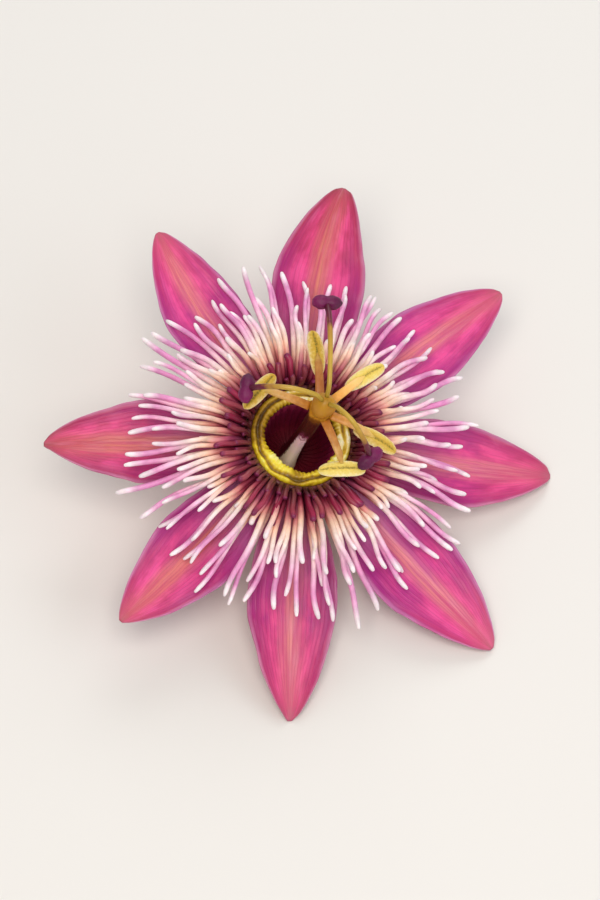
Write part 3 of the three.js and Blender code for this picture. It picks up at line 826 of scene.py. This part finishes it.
# lining of the cup: a pleated bowl under the column, from (radius, height) at its rim
lining = dict(
    inside=[(7.2, 0.15), (6.95, -0.6), (6.35, -3.4), (5.2, -6.4), (3.2, -8.0), (1.8, -8.5)],
    outside=[(1.9, -9.0), (4.4, -8.5), (6.2, -7.1), (7.4, -3), (7.75, 0)],
    pleats=30, depth=0.32, pleatsEnd=(0.66, 0.76), sides=360,
)
# Silky membrane of a deep maroon: only the pleats catch a gleam.
liningLook = dict(
    colours={0: "#7c1c3c", 0.12: "#6c1030", 0.5: "#5a0c1c", 1: "#4a0812"},
    roughness=0.5, specular=0.3, grain=700.0, glow=0.0,
)


def liningPart():
    def shape(radius, height, azimuth, share):
        depth = fade(0, 0.1, share) * (1 - fade(*lining["pleatsEnd"], share))
        fold = np.abs(np.sin(lining["pleats"] / 2 * azimuth + 0.25 * np.sin(5 * azimuth)))
        return radius - lining["depth"] * depth * fold * (0.5 + radius / 10), height + 0.12 * depth * fold

    profile = np.vstack([smoothCurve(lining["inside"], 26), smoothCurve(lining["outside"], 10)])
    return lathe(profile, lining["sides"], shape, wrap=True)


tissue = tissueMaterial("liningMembrane", liningLook)
makePiece("pleated_lining", [liningPart()], [tissue], ["cup_lining"])

# floral cup: a knobbly four-lobed bowl
cup = dict(
    outside=[(0.6, -11.4), (1.9, -11.38), (3.6, -11.1), (5.4, -10.6), (8.7, -8.3), (10.7, -5)]
    + [(11.6, -2.6), (11.6, -0.2)],
    inside=[(11.3, 0), (8.3, 0), (7.85, -3), (6.6, -7.2), (3.2, -9.5), (0.6, -9.5)],
    radius=11.6, lobes=4, swell=0.45, groove=0.35, knobs=0.22, sides=160,
)
# Firm waxy plant tissue, yellow-green with a pink flush at its rim, and dark maroon inside.
cupLook = dict(
    colours={0: "#8b963c", 0.2: "#a3a648", 0.42: "#b9ae58", 0.55: "#c4a86a"}
    | {0.62: "#bd9470", 0.75: "#7a4a48", 0.85: "#360a18", 1: "#300814"},
    roughness=0.44, grain=420.0, clouding=0.16, coat=0.08,
)


def cupPart():
    def shape(radius, height, azimuth, share):
        outer = (1 - fade(0.58, 0.62, share)) * fade(0, 0.1, share)
        lobed = cup["swell"] * np.cos(cup["lobes"] * azimuth) * radius / cup["radius"]
        lobed = lobed * (1 - fade(0.5, 0.6, share))
        groove = cup["groove"] * bell(np.sin(cup["lobes"] / 2 * azimuth), 0.14) * fade(3, 8, radius)
        x, y = radius * np.cos(azimuth), radius * np.sin(azimuth)
        knobs = cup["knobs"] * lumps(x, y, height, size=1.8, seed=0.4)
        return radius + outer * (lobed - groove + knobs), height

    profile = np.vstack([smoothCurve(cup["outside"], 34), smoothCurve(cup["inside"], 18)])
    return lathe(profile, cup["sides"], shape)


makePiece("cup_shell", [cupPart()], [tissueMaterial("cupTissue", cupLook)], ["floral_cup"])

# column that carries the stamens and the ovary
column = dict(
    foot=-9.2, top=20.2, flutes=5, fluteDepth=0.07, sides=96,
    tongue=3.4, tongueWidth=0.56, tongueTop=7.5,
)
# Smooth juicy tissue: solid dark maroon and orange at the top. A pinkish cream tongue rises from the foot
# at the front left, partly pale tissue and partly a painted highlight on that lit side.
columnTop = {0.8: "#4a0a08", 0.88: "#8a5008", 1: "#bc8014"}
columnLook = dict(
    colours={0: "#5a1020", 0.12: "#500a18", 0.3: "#480610", **columnTop},
    around={0: "#ffe8b4", 0.25: "#ffe8cc", 0.46: "#ffd0e0", 0.53: "#8a3358", 0.6: "#480610", **columnTop},
    aroundSpan=(0.87, 0.94), roughness=0.6, specular=0.25, grain=1500.0, clouding=0.08,
)


def columnPart():
    foot, top = column["foot"], column["top"]
    profile = [(1.2, foot), (2.15, foot + 0.1), (2.25, foot + 0.6), (1.9, foot + 2.2), (1.6, foot + 7)]
    profile += [(1.55, top - 9), (1.7, top - 3), (2.1, top - 1.1), (2.35, top - 0.5), (2.1, top), (1.1, top)]

    def shape(radius, height, azimuth, share):
        flutes = np.cos(column["flutes"] * azimuth) * fade(0.5, 1, share) + 0.5 * np.cos(10 * azimuth + 0.6)
        aside = np.abs((azimuth - math.radians(frontLeft) + math.pi) % (2 * math.pi) - math.pi)
        tongue = column["tongue"] * bell(aside, column["tongueWidth"])
        tongue = tongue * np.clip((column["tongueTop"] - height) / 15, 0, 1) ** 2 * fade(0, 0.06, share)
        return radius * (1 + column["fluteDepth"] * flutes) + tongue, height

    return lathe(smoothCurve(profile, 60), column["sides"], shape)


makePiece("column_stem", [columnPart()], [tissueMaterial("columnTissue", columnLook)], ["column"])

# ovary: a blunt egg with shallow furrows, drawn as shares of its radius and height
ovary = dict(
    profile=[(0.3, 0), (0.62, 0.01), (0.92, 0.2), (1, 0.42), (0.93, 0.64), (0.68, 0.86)]
    + [(0.35, 0.97), (0.1, 1)],
    bottom=19.95, height=5.75, radius=2.35, furrows=3, furrowDepth=0.07, sides=60,
)
# Smooth waxy skin: orange at the foot, golden olive above.
ovaryLook = dict(
    colours={0: "#b4680c", 0.35: "#bf8216", 0.75: "#bd8618", 1: "#a87c1a"},
    roughness=0.45, grain=800.0, coat=0.05,
)


def ovaryPart():
    def shape(radius, height, azimuth, share):
        return radius * (1 + ovary["furrowDepth"] * np.cos(ovary["furrows"] * azimuth)), height

    profile = smoothCurve(ovary["profile"], 34) * [ovary["radius"], ovary["height"]] + [0, ovary["bottom"]]
    return lathe(profile, ovary["sides"], shape)


makePiece("ovary_body", [ovaryPart()], [tissueMaterial("ovarySkin", ovaryLook)], ["ovary"])
print("middle made")

# stamens: a flat strap each, with an anther over its end
stamens = dict(
    # the first share on each stamen picks between the painted shaded and the painted lit copies of the
    # strap's colour; the second makes the anther a paler cream yellow
    stamen_1=dict(azimuth=94, turn=6, strapLit=0.15, pale=0.0),
    stamen_2=dict(azimuth=42, turn=-6, strapLit=1.0, pale=0.8),
    stamen_3=dict(azimuth=-22, turn=-4, strapLit=0.55, pale=0.3),
    stamen_4=dict(azimuth=-66, turn=72, strapLit=0.35, pale=1.0),
    stamen_5=dict(azimuth=164, turn=68, strapLit=0.5, pale=0.1),
)
stamen = dict(root=2.3, reach=11.6, width=1.75, thickness=0.8, height=19.7)
anther = dict(
    length=9.3, width=2.8, thickness=1.9, past=0.4, drop=1.1, bend=0.045,
    groove=0.45, grooveWidth=0.2, bluntness=4.0,
)
# Strap: smooth juicy tissue, orange at its root and yellower at its end. Its first run is a painted
# shaded copy and its second a painted lit copy, mixed on each strap by its share of painted light.
strapLook = dict(
    colours={0: "#a8601c", 0.35: "#a8622c", 0.75: "#b47a34", 1: "#c09a3a"},
    around={0: "#d48c24", 0.3: "#f2b054", 0.7: "#facc7c", 1: "#f0cc70"},
    aroundSpan=(0, 1), roughness=0.42, grain=900.0, coat=0.1, glow=0.2,
)
# Anther: two pollen sacs, smooth and olive yellow on their backs, with a powder of cream pollen below.
antherLook = dict(
    colours={0: "#e9cf9c", 0.45: "#f0daa4", 0.62: "#e6c672", 0.76: "#d2ac3c", 0.9: "#c0982c", 1: "#80701c"},
    around={0: "#f4e4b4", 0.45: "#faecbc", 0.62: "#f8e490", 0.76: "#f0d66a", 0.9: "#e4c85c", 1: "#a89440"},
    aroundSpan=(0, 1), roughness=0.6, grain=2200.0, bumpDepth=0.15, glow=0.1,
)


# a strap; pale is the share of its painted lit copy
def strapPart(pale):
    root, reach, height = stamen["root"], stamen["reach"], stamen["height"]
    corners = [(root, height), (root + 3, height + 0.35), (reach - 2.6, height + 0.3), (reach, height - 0.7)]
    line = smoothCurve([(out, 0, up) for out, up in corners], 26)
    share = np.linspace(0, 1, len(line))
    halfWidth = stamen["width"] / 2 * (1.05 - 0.25 * share) * (1 - 0.55 * fade(0.72, 1, share))
    return sweep(line, halfWidth, stamen["thickness"] / 2 * (1 - 0.25 * share), sides=16, around=pale)


def antherPart(turn, pale):
    # two long sacs side by side with a groove between them, bowed over the strap's end
    share = np.linspace(0.002, 0.998, 48)[:, None]
    around = wholeTurn(40)[None, :]
    taper = (1 - np.abs(2 * share - 1) ** anther["bluntness"]) ** 0.5
    x = (share - 0.5) * anther["length"] + 0 * around
    across = np.cos(around) * (1 + 0.06 * np.cos(4 * around))
    y = anther["width"] / 2 * taper * across * (1 - 0.07 * np.cos(2 * math.pi * share))
    z = anther["thickness"] / 2 * taper * np.sin(around)
    groove = bell(across, anther["grooveWidth"]) * (fade(0, 0.08, share) * fade(0, 0.08, 1 - share))
    z = z - anther["groove"] * groove * np.sign(np.sin(around)) * taper
    z = z + 0.1 * lumps(x, y * 1.5, z, size=0.9, seed=7.7) - anther["bend"] * x**2
    tone = (np.sin(around) + 1) / 2 * 0.82 + 0.18 * groove * (np.sin(around) > 0)
    angle = math.radians(turn)
    outwards = x * math.cos(angle) - y * math.sin(angle) + stamen["reach"] + anther["past"]
    sideways = x * math.sin(angle) + y * math.cos(angle)
    points = np.stack([outwards, sideways, z + stamen["height"] - anther["drop"]], -1)
    return ringSkin(points, material=1, along=tone, around=pale)


stamenTissues = [tissueMaterial("stamenStrap", strapLook), tissueMaterial("antherSkin", antherLook)]
for name, spec in stamens.items():
    parts = [strapPart(spec["strapLit"]), antherPart(spec["turn"], spec["pale"])]
    parts = [turned(part, spec["azimuth"]) for part in parts]
    makePiece(name + "_whole", parts, stamenTissues, [name])

# styles: a thread each, with a two-lobed stigma at its end
styles = dict(
    style_1=dict(azimuth=91, reach=19.9, end=25),
    style_2=dict(azimuth=-46, reach=13.4, end=22.4),
    style_3=dict(azimuth=173, reach=15.2, end=23),
)
style = dict(root=0.9, rootHeight=25.4, crest=28.4, thin=0.46, thick=0.62)
stigma = dict(across=6, high=3.2, long=3.2, notch=0.24, notchWidth=0.75)
# Thread: smooth, olive to orange yellow, then dark maroon towards the head.
styleLook = dict(
    colours={0: "#ae8e2c", 0.4: "#c4a23a", 0.66: "#b08434", 0.76: "#6a1f34", 1: "#4a0c26"},
    roughness=0.38, grain=700.0, clouding=0.1, coat=0.1,
)
# Stigma: soft lobes with a bumpy, slightly sticky skin, dark purple maroon.
stigmaLook = dict(
    colours={0: "#4e0636", 1: "#7c1054"},
    roughness=0.5, grain=2600.0, bumpDepth=0.2, glow=0.05,
)


def styleParts(spec):
    root, crest, reach, end = style["root"], style["crest"], spec["reach"], spec["end"]
    corners = [(root, style["rootHeight"]), (root + 2, crest - 0.7), (reach * 0.5, crest)]
    corners += [(reach * 0.8, (crest + end) / 2 + 0.6), (reach, end)]
    line = smoothCurve([(out, 0, up) for out, up in corners], 44)
    girth = style["thin"] + (style["thick"] - style["thin"]) * np.linspace(0, 1, len(line)) ** 2
    along = line[-1] - line[-3]
    along /= np.linalg.norm(along)
    across = np.array([0, 1.0, 0])
    up = np.cross(along, across)
    polar = np.linspace(0.02, math.pi - 0.02, 26)[:, None]
    around = wholeTurn(36)[None, :]
    a = -np.cos(polar) * stigma["long"] / 2 + 0 * around
    b = np.sin(polar) * np.cos(around) * stigma["across"] / 2
    c = np.sin(polar) * np.sin(around) * stigma["high"] / 2
    pinch = 1 - stigma["notch"] * bell(b, stigma["notchWidth"])
    swell = 1 + 0.07 * lumps(a, b, c, size=0.8, seed=4.4)
    local = np.stack([a * pinch, b, c * pinch], -1) * swell[..., None]
    points = line[-1] + local[..., :1] * along + local[..., 1:2] * across + local[..., 2:] * up
    head = ringSkin(points, material=1, along=b / stigma["across"] + 0.5)
    return [turned(part, spec["azimuth"]) for part in (sweep(line, girth, girth, sides=14), head)]


styleTissues = [tissueMaterial("styleThread", styleLook), tissueMaterial("stigmaSkin", stigmaLook)]
for name, spec in styles.items():
    makePiece(name + "_whole", styleParts(spec), styleTissues, [name])
print("stamens and styles made")

# the cut stalk, in the scene's own directions. Once down, it lies along (aside, back) from its start
stalk = dict(
    radius=1.2, cupDepth=11.4, sides=24, steps=120,
    lies=[(-5.6, 11.5), (-7.6, 19), (-10.6, 27), (-14.6, 34)],
)
# Green stem: firm and faintly waxy, with pale wet pith at its cut end.
stalkLook = dict(
    colours={0: "#a8ad50", 0.1: "#8ea046", 0.5: "#7b953e", 0.9: "#768a3b", 0.985: "#6c7c38", 1: "#c5cb98"},
    roughness=0.42, grain=500.0, clouding=0.1, coat=0.08,
)


def stalkPart():
    outward = np.array(leanTurn.to_3x3() @ Vector((0, 0, -1)))
    start = np.array([0, 0, pose["petalPlaneHeight"]]) + outward * (stalk["cupDepth"] - 0.2)
    x, y, low = start[0], start[1], stalk["radius"]
    corners = [start, start + outward * 2.5, (x - 3.6, y + 5.6, low + 0.9)]
    corners += [(x + aside, y + back, low) for aside, back in stalk["lies"]]
    share = np.linspace(0, 1, stalk["steps"])
    girth = stalk["radius"] * (1 + 0.28 * bell(share, 0.045)) * (1 - 0.03 * fade(0.3, 1, share))
    return sweep(smoothCurve(corners, stalk["steps"]), girth, girth, sides=stalk["sides"])


underFlower = flowerOrigin - Vector((0, 0, pose["petalPlaneHeight"] * mm))
stalkPlace = Matrix.Translation(underFlower) @ Matrix.Scale(mm, 4)
tissue = tissueMaterial("stalkSkin", stalkLook)
makePiece("cut_stalk", [stalkPart()], [tissue], ["stalk"], place=stalkPlace)
print("stalk made")

# floor, light and camera
studio = dict(floorSize=4.0, floorColour="#e9e7e3", worldColour="#f4f5f7", worldStrength=0.38)
lamps = dict(
    key=dict(place=(-0.04, -0.38, 0.85), size=0.5, power=5.1, colour="#fff7ee"),
    fill=dict(place=(0.65, -0.3, 0.5), size=0.6, power=1.6, colour="#f2f6ff"),
    back=dict(place=(0.1, 0.6, 0.55), size=0.5, power=2.0, colour="#ffffff"),
)
photoView = dict(azimuth=0, elevation=59, lens=200, frameWidth=116, sensor=36, aspect=600 / 900)


def makeFloor():
    half = studio["floorSize"] / 2
    mesh = bpy.data.meshes.new("floor")
    corners = [(-half, -half, 0), (half, -half, 0), (half, half, 0), (-half, half, 0)]
    mesh.from_pydata(corners, [], [(0, 1, 2, 3)])
    # smooth paper backdrop, matte
    material = newMaterial("backdropPaper", {"Base Color": studio["floorColour"], "Roughness": 0.8})[0]
    mesh.materials.append(material)
    floor = newObject("floor", mesh)


def makeLights(middle):
    world = bpy.data.worlds.new("studio")
    world.use_nodes = True
    background = world.node_tree.nodes["Background"]
    setInputs(background, {"Color": studio["worldColour"], "Strength": studio["worldStrength"]})
    bpy.context.scene.world = world
    for name, lamp in lamps.items():
        light = bpy.data.lights.new(name, "AREA")
        light.size, light.energy, light.color = lamp["size"], lamp["power"], linear(lamp["colour"])[:3]
        holder = newObject(name, light)
        holder.location = lamp["place"]
        holder.rotation_euler = (middle - holder.location).to_track_quat("-Z", "Y").to_euler()


def makeCamera(middle):
    # a long lens at the photograph's angle, aimed at the middle of what it sees of the object
    azimuth, elevation = math.radians(photoView["azimuth"]), math.radians(photoView["elevation"])
    flat = math.cos(elevation)
    back = Vector((math.sin(azimuth) * flat, -math.cos(azimuth) * flat, math.sin(elevation)))
    right = Vector((math.cos(azimuth), math.sin(azimuth), 0))
    up = back.cross(right)
    corners = [vertex.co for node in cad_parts.values() for vertex in node.data.vertices]
    target = back * middle.dot(back)
    for direction in (right, up):
        reaches = [corner.dot(direction) for corner in corners]
        target += direction * (min(reaches) + max(reaches)) / 2
    frameHeight = photoView["frameWidth"] * mm / photoView["aspect"]
    camera = bpy.data.cameras.new("photoCamera")
    camera.lens, camera.sensor_width = photoView["lens"], photoView["sensor"]
    camera.clip_start, camera.clip_end = 0.05, 20
    holder = newObject("photoCamera", camera)
    holder.location = target + back * (photoView["lens"] * frameHeight / photoView["sensor"])
    holder.rotation_euler = back.to_track_quat("Z", "Y").to_euler()
    bpy.context.scene.camera = holder


makeFloor()
makeLights((cadLow + cadHigh) / 2)
makeCamera((cadLow + cadHigh) / 2)
bpy.context.scene.view_settings.view_transform = "Standard"
print("floor, lights and camera made")
